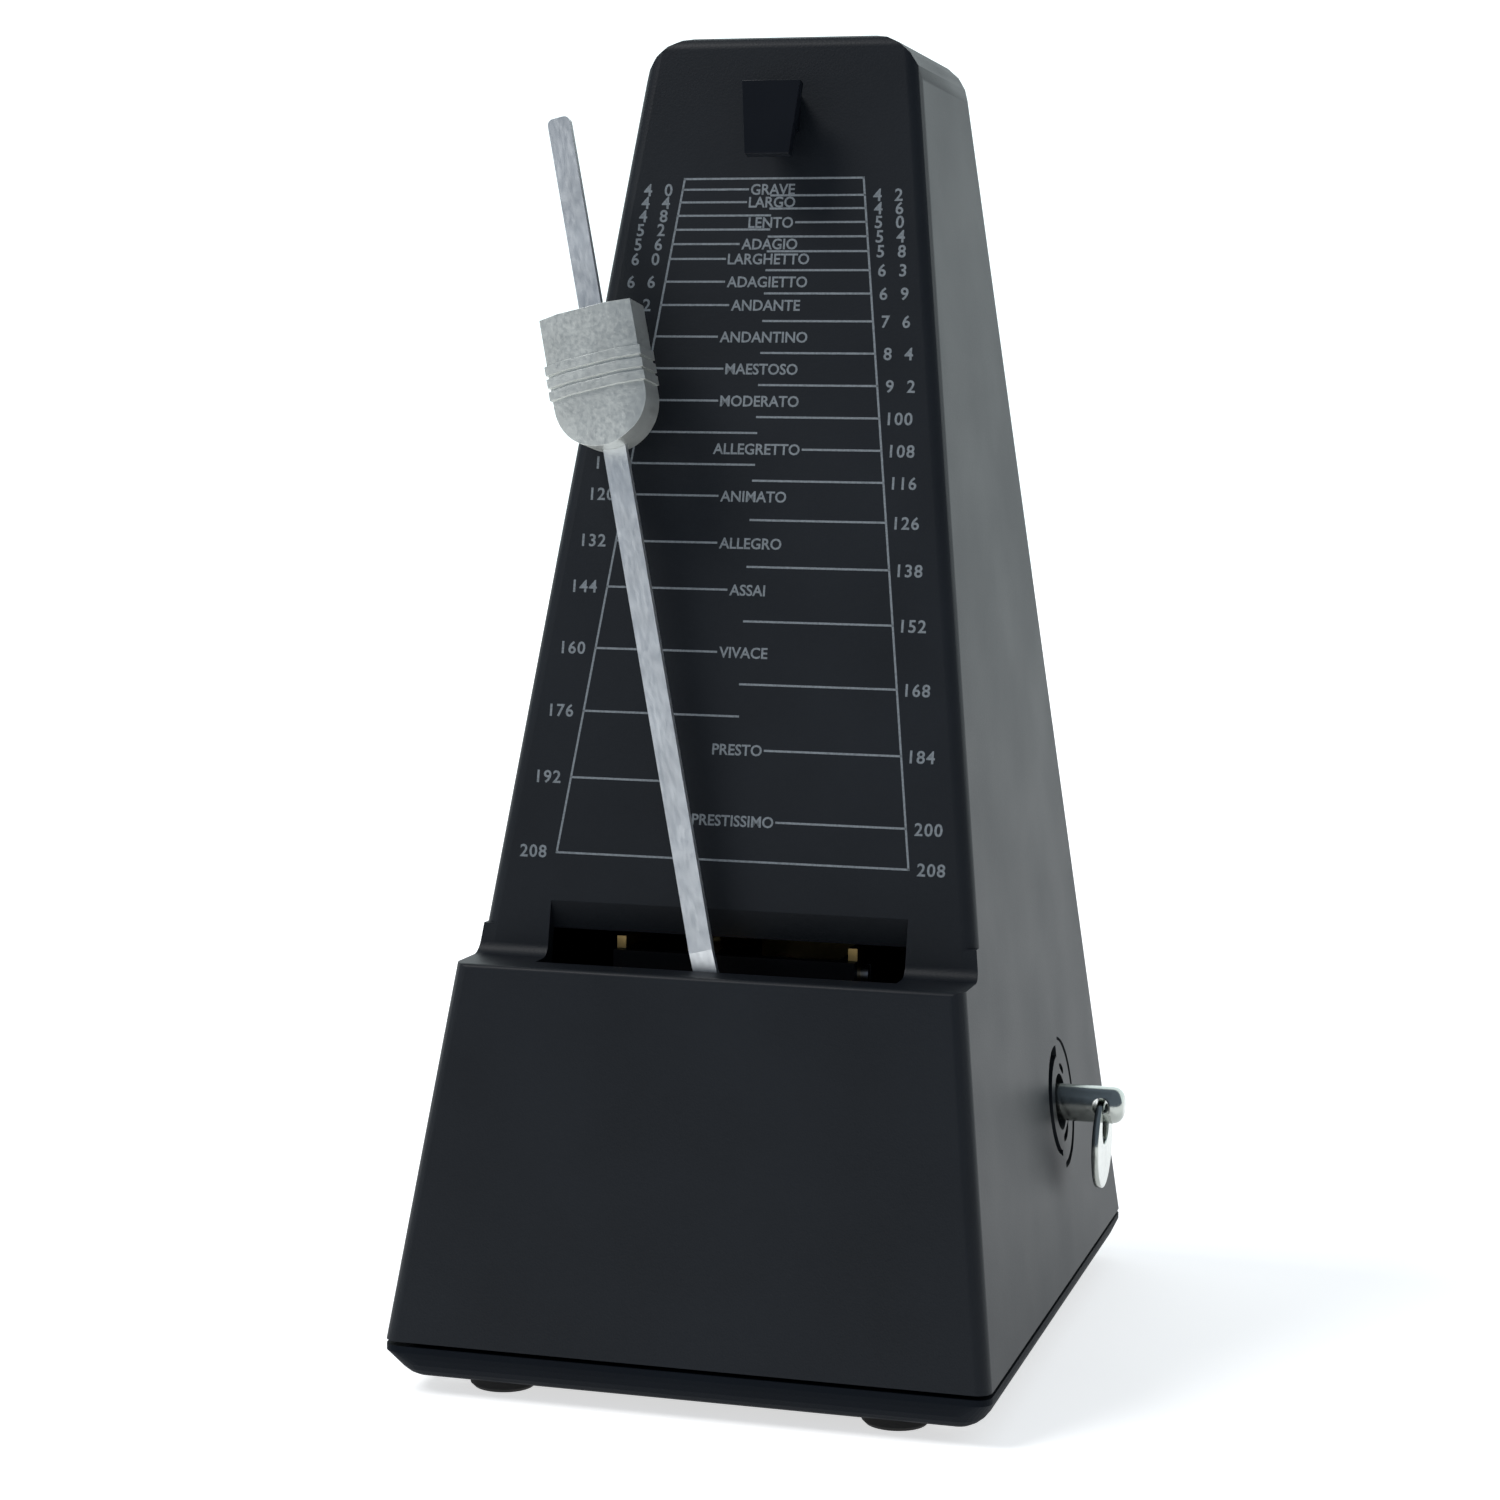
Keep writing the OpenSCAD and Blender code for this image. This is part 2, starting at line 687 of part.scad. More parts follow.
// The click rides clear of the ratchet's tips, as it does while the spring is being wound
module click() {
    nose = arbor_1 + (ratchet_r + 0.4) * [cos(122), sin(122)];
    along = (nose - click_pivot) / norm(nose - click_pivot);
    across = [-along[1], along[0]];
    color([0.62, 0.63, 0.65]) difference() {
        union() {
            rod_x(click_pivot, 2.3, click_x, click_t);
            along_x(click_x, click_t) polygon([click_pivot - 1.6 * across, click_pivot + 1.6 * across,
                nose + 0.2 * across, nose - 1.4 * across]);
        }
        rod_x(click_pivot, 0.9 + run_fit, click_x - 1, click_t + 2);
    }
}

module click_spring() {
    t = 0.3;
    from = click_foot;
    to = arbor_1 + (ratchet_r + 3.1) * [cos(112), sin(112)];
    along = (to - from) / norm(to - from);
    across = [-along[1], along[0]];
    color([0.7, 0.71, 0.72]) difference() {
        union() {
            rod_x(from, 1.8, click_x, great_x - click_x);
            along_x(click_x, click_t) polygon([from, from + t * across, to + t * across, to]);
        }
        rod_x(from, 0.9, click_x - 1, 6);
    }
}

module click_screws() {
    color("silver") for (at = [click_pivot, click_foot])
        screw_x(at, click_x - 0.1, great_x + great_t - click_x + 0.1, 1, 0.9, 1.7);
}

// Flat spiral spring, wound on its collet and hooked on the first pillar
module mainspring() {
    turns = 5;
    steps = 20;
    t = 0.5;
    r0 = 4.5;
    r1 = 18;
    end_a = hook_angle;
    last = turns * steps;
    total = turns * 360;
    tail = 6;
    hook = hook_reach - pillar_r - t - 0.02;
    function spiral(i, off) = let (a = end_a - total + i * 360 / steps, f = i / last,
        r = r0 + (r1 - r0) * f + off + (hook - r1) * max(0, i - last + tail) / tail) r * [cos(a), sin(a)];
    color([0.35, 0.38, 0.45]) along_x(spring_x + 0.3, spring_w - 0.6) translate(arbor_1)
        polygon(concat([for (i = [0:last]) spiral(i, 0)], [for (i = [last:-1:0]) spiral(i, t)]));
}

// ---------- second and escape arbors ----------

module second_arbor() {
    color([0.62, 0.63, 0.65]) rod_x(arbor_2, arbor_2_r, -frame_x - 1, frame_w + 2);
}

module second_pinion() {
    color([0.62, 0.63, 0.65])
        gear(arbor_2, mod_1, teeth[1], angle_12 + 180 + 180 / teeth[1], arbor_2_r, great_x - 0.8, great_t + 1.6);
}

module second_wheel() {
    color([0.78, 0.66, 0.36]) difference() {
        union() {
            gear(arbor_2, mod_2, teeth[2], angle_23, arbor_2_r, wheel_2_x, wheel_2_t);
            bush_x(arbor_2, 3.4, arbor_2_r, wheel_2_x, wheel_2_t + 1.6);
        }
        for (a = [0:60:300]) rod_x(arbor_2 + 8.6 * [cos(a), sin(a)], 3, wheel_2_x - 1, wheel_2_t + 2);
    }
}

module escape_arbor() {
    color([0.62, 0.63, 0.65]) rod_x(arbor_3, arbor_3_r, -frame_x - 1, frame_x + 1 + crown_x + 3);
}

module escape_pinion() {
    color([0.62, 0.63, 0.65]) gear(arbor_3, mod_2, teeth[3], angle_23 + 180 + 180 / teeth[3],
        arbor_3_r, wheel_2_x - 0.8, wheel_2_t + 1.6);
}

// Crown wheel: a cup whose teeth point along the arbor, towards the pallets
module crown_wheel() {
    n = crown_teeth;
    rim_t = 1;
    tooth_h = 2.4;
    gap = 0.9;
    slope = 2.6;
    color([0.78, 0.66, 0.36]) difference() {
        union() {
            rod_x(arbor_3, crown_r, crown_x, 1.2);
            bush_x(arbor_3, crown_r, crown_r - rim_t, crown_x, crown_tip_x - crown_x);
            rod_x(arbor_3, 3, crown_x, 3);
        }
        for (i = [0:n - 1]) translate([crown_tip_x, arbor_3[0], arbor_3[1]]) rotate([i * 360 / n, 0, 0])
            translate([0, 0, crown_r - 2 * rim_t]) linear_extrude(3 * rim_t)
                polygon([[-tooth_h, -gap], [1, -gap], [1, gap + slope], [0, gap + slope], [-tooth_h, gap]]);
        rod_x(arbor_3, arbor_3_r, crown_x - 1, 8);
        for (a = [0:60:300]) rod_x(arbor_3 + 7 * [cos(a), sin(a)], 2.4, crown_x - 1, 3);
    }
}

// ---------- pendulum ----------

module pendulum_staff() {
    color([0.62, 0.63, 0.65]) swung()
        rod_y_dir(0, pivot_h, staff_r, rod_y - 0.8, potence_y + 3.4 - rod_y + 0.8);
}

module pallets() {
    color([0.62, 0.63, 0.65]) swung() for (k = [0, 1])
        translate([0, arbor_3[0] + (k == 0 ? -crown_r : crown_r) - 1.5, pivot_h])
            rotate([0, k == 0 ? -50 : -130, 0]) rotate([-90, 0, 0]) difference() {
                union() {
                    cylinder(r = staff_r + 0.8, h = 3);
                    translate([-0.4, -3.5, 0]) cube([0.8, 3.5, 3]);
                }
                translate([0, 0, -1]) cylinder(r = staff_r, h = 5);
            }
}

module pendulum_hub() {
    color([0.78, 0.66, 0.36]) swung() difference() {
        rod_y_dir(0, pivot_h, hub_r, rod_y + rod_t, hub_t);
        rod_y_dir(0, pivot_h, staff_r, rod_y, hub_t + 4);
        for (s = [-1, 1]) rod_y_dir(0, pivot_h + rivet_up * s, 0.8, rod_y, hub_t + 4);
    }
}

module hub_rivets() {
    color([0.7, 0.71, 0.72]) swung() for (s = [-1, 1]) {
        rod_y_dir(0, pivot_h + rivet_up * s, 0.8, rod_y - rivet_head, rod_t + hub_t + rivet_head);
        rod_y_dir(0, pivot_h + rivet_up * s, 1.4, rod_y - rivet_head, rivet_head);
    }
}

module pendulum_rod() {
    corner = 1;
    upper = (pivot_h + rod_reach - bend_z) / cos(rod_lean);
    low = pivot_h - counter_drop - counter_d / 2;
    color([0.75, 0.76, 0.77]) swung() difference() {
        union() {
            translate([-rod_w / 2, rod_y, low]) cube([rod_w, rod_t, bend_z - low + 0.05]);
            on_rod() translate([0, rod_t, 0]) rotate([90, 0, 0]) linear_extrude(rod_t) {
                translate([-rod_w / 2, 0]) square([rod_w, upper - corner]);
                translate([-rod_w / 2 + corner, 0]) square([rod_w - 2 * corner, upper]);
                for (s = [-1, 1]) translate([s * (rod_w / 2 - corner), upper - corner]) circle(corner);
            }
        }
        rod_y_dir(0, pivot_h, staff_r, rod_y - 4, 10);
        for (s = [-1, 1]) rod_y_dir(0, pivot_h + rivet_up * s, 0.8, rod_y - 4, 10);
    }
}

module counterweight() {
    color([0.45, 0.45, 0.46]) swung() difference() {
        translate([0, rod_y + rod_t / 2 - counter_t / 2, pivot_h - counter_drop]) rotate([-90, 0, 0])
            rotate_extrude($fn = 64) polygon([[0, 0], [counter_d / 2 - 1, 0], [counter_d / 2, 1],
                [counter_d / 2, counter_t - 1], [counter_d / 2 - 1, counter_t], [0, counter_t]]);
        translate([-rod_w / 2, rod_y, 0]) cube([rod_w, rod_t, pivot_h]);
    }
}

// Local frame of the sliding weight: X across, Y to the back, Z up along the rod from its lower end
module on_bob() {
    swung() on_rod() translate([0, 0, (pivot_h + bob_reach - bend_z) / cos(rod_lean)]) children();
}

// Outline of the weight from above, with a flat middle and two facets in front
module bob_section(grow) {
    half = bob_w / 2 + grow;
    front = -bob_front - grow;
    polygon([[-half, bob_t - bob_front], [half, bob_t - bob_front], [half, front + facet_fall],
        [facet_half, front], [-facet_half, front], [-half, front + facet_fall]]);
}

module sliding_weight() {
    r = bob_w / 2;
    slot_play = 0.15;
    color([0.77, 0.76, 0.72]) on_bob() difference() {
        union() {
            intersection() {
                linear_extrude(bob_h) bob_section(0);
                translate([0, bob_t, 0]) rotate([90, 0, 0]) linear_extrude(2 * bob_t) {
                    translate([0, r]) circle(r, $fn = 64);
                    translate([-r, r]) square([bob_w, bob_h - r]);
                }
            }
            for (k = [0:2]) translate([0, 0, ridge_from + k * ridge_pitch]) linear_extrude(ridge_h)
                bob_section(ridge_out);
        }
        translate([-rod_w / 2 - slot_play, -slot_play, -1])
            cube([rod_w + 2 * slot_play, rod_t + 2 * slot_play, bob_h + 2]);
        translate([-rod_w / 2 + 0.4, rod_t, 3]) cube([rod_w - 0.8, 1.2, bob_h - 6]);
    }
}

module weight_spring() {
    color([0.7, 0.71, 0.72]) on_bob() translate([-rod_w / 2 + 0.6, 0, 0]) rotate([90, 0, 90])
        linear_extrude(rod_w - 1.2) polygon([[rod_t + 0.95, 3.4], [rod_t + 0.35, bob_h / 2 - 2],
            [rod_t + 0.35, bob_h / 2 + 2], [rod_t + 0.95, bob_h - 3.4], [rod_t + 1.15, bob_h - 3.4],
            [rod_t + 0.55, bob_h / 2 + 2], [rod_t + 0.55, bob_h / 2 - 2], [rod_t + 1.15, 3.4]]);
}

case_shell();
base_tray();
rubber_feet();
base_screws();
rod_catch();
catch_screw();
left_plate();
right_plate();
plate_pillars();
pillar_screws();
movement_screws();
front_bridge();
bridge_screws();
rear_potence();
potence_screws();
staff_bushes();
winding_bushes();
second_bushes();
escape_bush();
mainspring();
winding_arbor();
spring_collet();
key_pin();
key_ring();
ratchet_wheel();
great_wheel();
retaining_ring();
click();
click_spring();
click_screws();
second_arbor();
second_pinion();
second_wheel();
escape_arbor();
escape_pinion();
crown_wheel();
pendulum_staff();
pallets();
pendulum_hub();
pendulum_rod();
hub_rivets();
counterweight();
sliding_weight();
weight_spring();
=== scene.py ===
"""Looks of the wind-up metronome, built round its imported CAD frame."""

import math

import bpy
from mathutils import Matrix, Vector


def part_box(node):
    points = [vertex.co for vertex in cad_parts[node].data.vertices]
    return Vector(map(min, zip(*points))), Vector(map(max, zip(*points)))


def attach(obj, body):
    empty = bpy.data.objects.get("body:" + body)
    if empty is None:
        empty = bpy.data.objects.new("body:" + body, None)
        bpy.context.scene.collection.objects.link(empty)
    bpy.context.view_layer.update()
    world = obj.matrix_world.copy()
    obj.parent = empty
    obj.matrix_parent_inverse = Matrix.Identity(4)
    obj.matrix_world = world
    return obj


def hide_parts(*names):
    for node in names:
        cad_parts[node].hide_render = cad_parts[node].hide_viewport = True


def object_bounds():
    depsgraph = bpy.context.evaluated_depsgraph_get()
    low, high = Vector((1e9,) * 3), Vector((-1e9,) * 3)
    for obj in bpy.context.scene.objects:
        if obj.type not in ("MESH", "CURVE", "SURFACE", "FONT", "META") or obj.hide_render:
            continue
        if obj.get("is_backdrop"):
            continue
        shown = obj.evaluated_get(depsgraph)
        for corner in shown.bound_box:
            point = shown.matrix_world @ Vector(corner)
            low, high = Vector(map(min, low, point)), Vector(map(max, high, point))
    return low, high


bl_info = {
    "name": "Metronome",
    "version": (1, 0, 0),
    "blender": (4, 5, 0),
    "location": "View3D > Sidebar > Metronome",
    "description": "Case, tempo scale, pendulum, key and movement of a wind-up metronome",
    "category": "Add Mesh",
}

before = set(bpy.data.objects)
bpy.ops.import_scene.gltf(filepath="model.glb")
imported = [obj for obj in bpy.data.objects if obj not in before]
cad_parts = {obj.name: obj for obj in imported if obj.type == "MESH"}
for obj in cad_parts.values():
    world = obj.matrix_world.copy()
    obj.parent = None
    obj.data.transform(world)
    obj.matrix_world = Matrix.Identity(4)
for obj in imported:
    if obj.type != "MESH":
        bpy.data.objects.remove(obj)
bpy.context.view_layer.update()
CASE_LOW, CASE_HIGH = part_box("case_shell")

# The tempo words, at the beats per minute where each one stands
WORDS = {
    40: "GRAVE", 44: "LARGO", 50: "LENTO", 56: "ADAGIO", 60: "LARGHETTO", 66: "ADAGIETTO",
    72: "ANDANTE", 80: "ANDANTINO", 88: "MAESTOSO", 96: "MODERATO", 108: "ALLEGRETTO",
    120: "ANIMATO", 132: "ALLEGRO", 144: "ASSAI", 160: "VIVACE", 184: "PRESTO",
    200: "PRESTISSIMO",
}
LEFT_BEATS = [40, 44, 48, 52, 56, 60, 66, 72, 80, 88, 96, 104, 112, 120, 132, 144, 160, 176, 192, 208]
RIGHT_BEATS = [42, 46, 50, 54, 58, 63, 69, 76, 84, 92, 100, 108, 116, 126, 138, 152, 168, 184, 200, 208]
GRAVITY = 9.81


# ---------------------------------------------------------------- sizes and colours


class CaseSizes(bpy.types.PropertyGroup):
    """The black case, its tray, feet and rod catch."""

    plastic: bpy.props.FloatVectorProperty(
        name="Plastic", description="Colour of the moulded case", subtype="COLOR",
        size=3, min=0, max=1, default=(0.0042, 0.0064, 0.0098))
    grain: bpy.props.FloatProperty(
        name="Grain", description="Size of the moulding texture's grain", unit="LENGTH",
        default=0.00035, min=0.0001, max=0.002)
    side_lean: bpy.props.FloatProperty(
        name="Side lean", description="How far the case's sides lean in", unit="ROTATION",
        default=math.radians(7.24))
    mark_depth: bpy.props.FloatProperty(
        name="Winding mark depth", description="How deep the marks round the key are cut",
        unit="LENGTH", default=0.0009, min=0.0001, max=0.0015)


class ScaleSizes(bpy.types.PropertyGroup):
    """The tempo scale that is marked on the sloping plate."""

    ink: bpy.props.FloatVectorProperty(
        name="Marking", description="Colour of the lines and letters", subtype="COLOR",
        size=3, min=0, max=1, default=(0.22, 0.245, 0.265))
    plate_lean: bpy.props.FloatProperty(
        name="Plate lean", description="How far the plate leans back", unit="ROTATION",
        default=math.radians(10.8))
    plate_setback: bpy.props.FloatProperty(
        name="Plate setback", description="How far the plate lies behind the lower front",
        unit="LENGTH", default=0.0114)
    top: bpy.props.FloatProperty(
        name="Top line", description="Height of the scale's top line", unit="LENGTH", default=0.1923)
    bottom: bpy.props.FloatProperty(
        name="Bottom line", description="Height of the scale's bottom line", unit="LENGTH", default=0.0837)
    top_half: bpy.props.FloatProperty(
        name="Half width at the top", description="From the middle to the scale's side line, at the top",
        unit="LENGTH", default=0.01496)
    bottom_half: bpy.props.FloatProperty(
        name="Half width at the bottom",
        description="From the middle to the scale's side line, at the bottom",
        unit="LENGTH", default=0.02901)
    spin: bpy.props.FloatProperty(
        name="Spin of the bare pendulum",
        description="Its moment of inertia over the sliding weight's mass, in square metres",
        default=0.00982, precision=5)
    balance: bpy.props.FloatProperty(
        name="Balance of the bare pendulum",
        description="Its counterweight's pull over the sliding weight's mass",
        unit="LENGTH", default=0.13843)
    foot: bpy.props.FloatProperty(
        name="Scale foot", description="Height of the scale's zero reach", unit="LENGTH", default=0.0679)
    rise: bpy.props.FloatProperty(
        name="Rise", description="Height gained for each length of reach along the rod", default=0.967)
    line: bpy.props.FloatProperty(
        name="Line", description="Width of the lines", unit="LENGTH", default=0.00034)
    word_h: bpy.props.FloatProperty(
        name="Word height", description="Height of the tempo words' capitals", unit="LENGTH", default=0.00175)
    number_h: bpy.props.FloatProperty(
        name="Number height", description="Height of the numbers", unit="LENGTH", default=0.002)
    proud: bpy.props.FloatProperty(
        name="Proud", description="How far the marking stands off the plate", unit="LENGTH", default=0.00002)


class PendulumSizes(bpy.types.PropertyGroup):
    """The swinging rod and the weight that slides on it."""

    rest_tilt: bpy.props.FloatProperty(
        name="Rest tilt", description="Sideways tilt of the rod as it stands", unit="ROTATION",
        default=math.radians(13.5))
    rod_lean: bpy.props.FloatProperty(
        name="Rod lean", description="How far the upper rod leans back", unit="ROTATION",
        default=math.radians(8.4))
    weight_round: bpy.props.FloatProperty(
        name="Weight edge", description="Radius of the weight's edges", unit="LENGTH",
        default=0.00028, min=0.0001, max=0.001)
    rod_round: bpy.props.FloatProperty(
        name="Rod edge", description="Radius of the rod's edges", unit="LENGTH",
        default=0.00012, min=0.00005, max=0.0004)
    nickel: bpy.props.FloatVectorProperty(
        name="Nickel", description="Colour of the weight's plating", subtype="COLOR",
        size=3, min=0, max=1, default=(0.64, 0.66, 0.63))
    steel: bpy.props.FloatVectorProperty(
        name="Steel", description="Colour of the rod", subtype="COLOR",
        size=3, min=0, max=1, default=(0.82, 0.84, 0.85))


class KeySizes(bpy.types.PropertyGroup):
    """The winding key's pin and folding ring."""

    plating: bpy.props.FloatVectorProperty(
        name="Plating", description="Colour of the bright plating", subtype="COLOR",
        size=3, min=0, max=1, default=(0.46, 0.485, 0.455))
    edge: bpy.props.FloatProperty(
        name="Edge", description="Radius of the ring's edges", unit="LENGTH",
        default=0.00022, min=0.00005, max=0.0005)


class StageSizes(bpy.types.PropertyGroup):
    """Floor, lights and camera."""

    floor: bpy.props.FloatVectorProperty(
        name="Floor", description="Colour of the floor", subtype="COLOR",
        size=3, min=0, max=1, default=(0.8, 0.8, 0.8))
    camera_place: bpy.props.FloatVectorProperty(
        name="Camera place", description="Where the camera stands", subtype="TRANSLATION",
        unit="LENGTH", size=3, default=(0.1364646, -0.5207299, 0.1509355))
    yaw: bpy.props.FloatProperty(
        name="Turn", description="The camera's turn to the right of straight back", unit="ROTATION",
        default=math.radians(-15.42001))
    pitch: bpy.props.FloatProperty(
        name="Pitch", description="How far the camera looks up", unit="ROTATION",
        default=math.radians(-5.62782))
    roll: bpy.props.FloatProperty(
        name="Roll", description="The camera's roll", unit="ROTATION", default=math.radians(0.77702))
    lens: bpy.props.FloatProperty(
        name="Lens", description="Focal length on a 36 mm sensor, in millimetres", default=76.637)
    sun: bpy.props.FloatProperty(
        name="Main light", description="Strength of the soft light from the upper left", default=1.7)
    sun_width: bpy.props.FloatProperty(
        name="Main light width", description="Angle that the main light spans", unit="ROTATION",
        default=math.radians(24))
    backdrop: bpy.props.FloatProperty(
        name="Backdrop", description="Brightness of the lit backdrop", default=1.35)
    sky: bpy.props.FloatProperty(
        name="Room light", description="Strength of the light from all round", default=0.2)
    floor_glow: bpy.props.FloatProperty(
        name="Floor glow", description="Light that the floor gives off, as a lit table does", default=0.65)


# ---------------------------------------------------------------- tools


def deselect():
    """Back to object mode with nothing selected."""
    if bpy.context.object is not None and bpy.context.object.mode != "OBJECT":
        bpy.ops.object.mode_set(mode="OBJECT")
    for item in bpy.context.selected_objects:
        item.select_set(False)


def pick(*items):
    """Selects these objects alone; the first is the active one."""
    deselect()
    for item in items:
        item.select_set(True)
    bpy.context.view_layer.objects.active = items[0]


def edit(item):
    """Opens the object for editing, with its whole mesh selected."""
    pick(item)
    bpy.ops.object.mode_set(mode="EDIT")
    bpy.ops.mesh.select_all(action="SELECT")


def close_edit():
    bpy.ops.object.mode_set(mode="OBJECT")


def set_place(item, place=None):
    """Moves the object by a matrix, if one is given, and writes its place into its mesh."""
    pick(item)
    if place is not None:
        item.matrix_world = place @ item.matrix_world
    bpy.ops.object.transform_apply(location=True, rotation=True, scale=True)


def name_piece(item, name, material):
    """Names the piece and gives it its one material."""
    item.name = name
    item.data.name = name
    item.data.materials.clear()
    item.data.materials.append(material)
    for face in item.data.polygons:
        face.material_index = 0


def join(items, name, material):
    pick(*items)
    if len(items) > 1:
        bpy.ops.object.join()
    name_piece(items[0], name, material)
    return items[0]


def copy_of(node, name, material):
    """A welded copy of a CAD node's mesh, with flat faces merged."""
    item = bpy.data.objects.new(name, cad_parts[node].data.copy())
    bpy.context.scene.collection.objects.link(item)
    edit(item)
    bpy.ops.mesh.customdata_custom_splitnormals_clear()
    bpy.ops.mesh.remove_doubles(threshold=0.000002)
    bpy.ops.mesh.dissolve_limited(angle_limit=math.radians(0.4))
    close_edit()
    name_piece(item, name, material)
    return item


def bevel(item, width, segments=3, angle=35):
    """Rounds the edges that are sharper than the angle, and evens out the shading."""
    pick(item)
    modifier = item.modifiers.new("edges", "BEVEL")
    modifier.width = width
    modifier.segments = segments
    modifier.limit_method = "ANGLE"
    modifier.angle_limit = math.radians(angle)
    modifier.use_clamp_overlap = True
    bpy.ops.object.modifier_apply(modifier=modifier.name)
    smooth(item)


def smooth(item, angle=40):
    """Smooth shading, with large flat faces kept flat."""
    pick(item)
    bpy.ops.object.shade_smooth_by_angle(angle=math.radians(angle))
    modifier = item.modifiers.new("flat faces", "WEIGHTED_NORMAL")
    modifier.keep_sharp = True
    modifier.weight = 90
    bpy.ops.object.modifier_apply(modifier=modifier.name)


# ---------------------------------------------------------------- finishes


def finish_tree(name):
    """A new material; returns it with its nodes, its links and its shader."""
    material = bpy.data.materials.new(name)
    material.use_nodes = True
    nodes = material.node_tree.nodes
    return material, nodes, material.node_tree.links, nodes["Principled BSDF"]


def grain(nodes, links, size, stretch=(1, 1, 1), turn=(0, 0, 0), detail=3.0):
    """Noise of that grain size in the object's own place, drawn out and turned."""
    place = nodes.new("ShaderNodeTexCoord")
    mapping = nodes.new("ShaderNodeMapping")
    mapping.inputs["Scale"].default_value = stretch
    turned = nodes.new("ShaderNodeMapping")
    turned.inputs["Rotation"].default_value = turn
    noise = nodes.new("ShaderNodeTexNoise")
    noise.inputs["Scale"].default_value = 1 / size
    noise.inputs["Detail"].default_value = detail
    links.new(place.outputs["Object"], turned.inputs["Vector"])
    links.new(turned.outputs["Vector"], mapping.inputs["Vector"])
    links.new(mapping.outputs["Vector"], noise.inputs["Vector"])
    return noise.outputs["Fac"]


def spread(nodes, links, source, low, high, start=0.3, end=0.7):
    """Maps a pattern to the range from low to high."""
    ramp = nodes.new("ShaderNodeMapRange")
    ramp.inputs["From Min"].default_value = start
    ramp.inputs["From Max"].default_value = end
    ramp.inputs["To Min"].default_value = low
    ramp.inputs["To Max"].default_value = high
    links.new(source, ramp.inputs["Value"])
    return ramp.outputs["Result"]


def tint(nodes, links, shader, source, dark, light):
    """Base colour that runs from dark to light with a pattern."""
    mix = nodes.new("ShaderNodeMix")
    mix.data_type = "RGBA"
    mix.inputs["A"].default_value = (*dark, 1)
    mix.inputs["B"].default_value = (*light, 1)
    links.new(source, mix.inputs["Factor"])
    links.new(mix.outputs["Result"], shader.inputs["Base Color"])


def relief(nodes, links, shader, source, depth):
    bump = nodes.new("ShaderNodeBump")
    bump.inputs["Distance"].default_value = depth
    bump.inputs["Strength"].default_value = 1
    links.new(source, bump.inputs["Height"])
    links.new(bump.outputs["Normal"], shader.inputs["Normal"])


def plastic(name, colour, roughness, size, depth, sheen=0.3):
    """Moulded plastic with a fine spark-eroded grain."""
    material, nodes, links, shader = finish_tree(name)
    fine = grain(nodes, links, size)
    broad = grain(nodes, links, 0.02, detail=2.0)
    tint(nodes, links, shader, spread(nodes, links, broad, 0, 1),
         tuple(0.88 * c for c in colour), tuple(1.12 * c for c in colour))
    links.new(spread(nodes, links, broad, roughness - 0.02, roughness + 0.03), shader.inputs["Roughness"])
    shader.inputs["Specular IOR Level"].default_value = sheen
    relief(nodes, links, shader, fine, depth)
    return material


def metal(name, colour, roughness, size, stretch=(1, 1, 1), turn=(0, 0, 0), depth=0.00001, vary=0.08,
          metallic=1.0):
    """Plated, rolled or turned metal with its tool marks."""
    material, nodes, links, shader = finish_tree(name)
    shader.inputs["Metallic"].default_value = metallic
    marks = grain(nodes, links, size, stretch, turn)
    clouds = grain(nodes, links, 0.006, detail=2.0)
    tint(nodes, links, shader, spread(nodes, links, clouds, 0, 1),
         tuple(0.9 * c for c in colour), tuple(min(1, 1.06 * c) for c in colour))
    links.new(spread(nodes, links, marks, roughness - vary / 2, roughness + vary), shader.inputs["Roughness"])
    relief(nodes, links, shader, marks, depth)
    return material


def marking(name, colour):
    """The pale, dry marking of the scale, a little broken by the grain under it."""
    material, nodes, links, shader = finish_tree(name)
    speck = grain(nodes, links, 0.0003)
    tint(nodes, links, shader, spread(nodes, links, speck, 0, 1, 0.35, 0.6),
         tuple(0.72 * c for c in colour), colour)
    shader.inputs["Roughness"].default_value = 0.9
    shader.inputs["Specular IOR Level"].default_value = 0.25
    return material


def paint(material, *nodes):
    """Gives CAD nodes their finish."""
    for node in nodes:
        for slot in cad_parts[node].material_slots:
            slot.material = material


# ---------------------------------------------------------------- case


def plate_place(sizes):
    """From the flat drawing of the scale, x across and y up the slope from the ledge seam, to the plate."""
    up = Vector((0, math.sin(sizes.plate_lean), math.cos(sizes.plate_lean)))
    out = Vector((0, -math.cos(sizes.plate_lean), math.sin(sizes.plate_lean)))
    start = Vector((0, CASE_LOW.y + sizes.plate_setback, CASE_LOW.z))
    place = Matrix.Identity(4)
    for row in range(3):
        place[row][0] = (1, 0, 0)[row]
        place[row][1] = up[row]
        place[row][2] = out[row]
        place[row][3] = start[row]
    return place


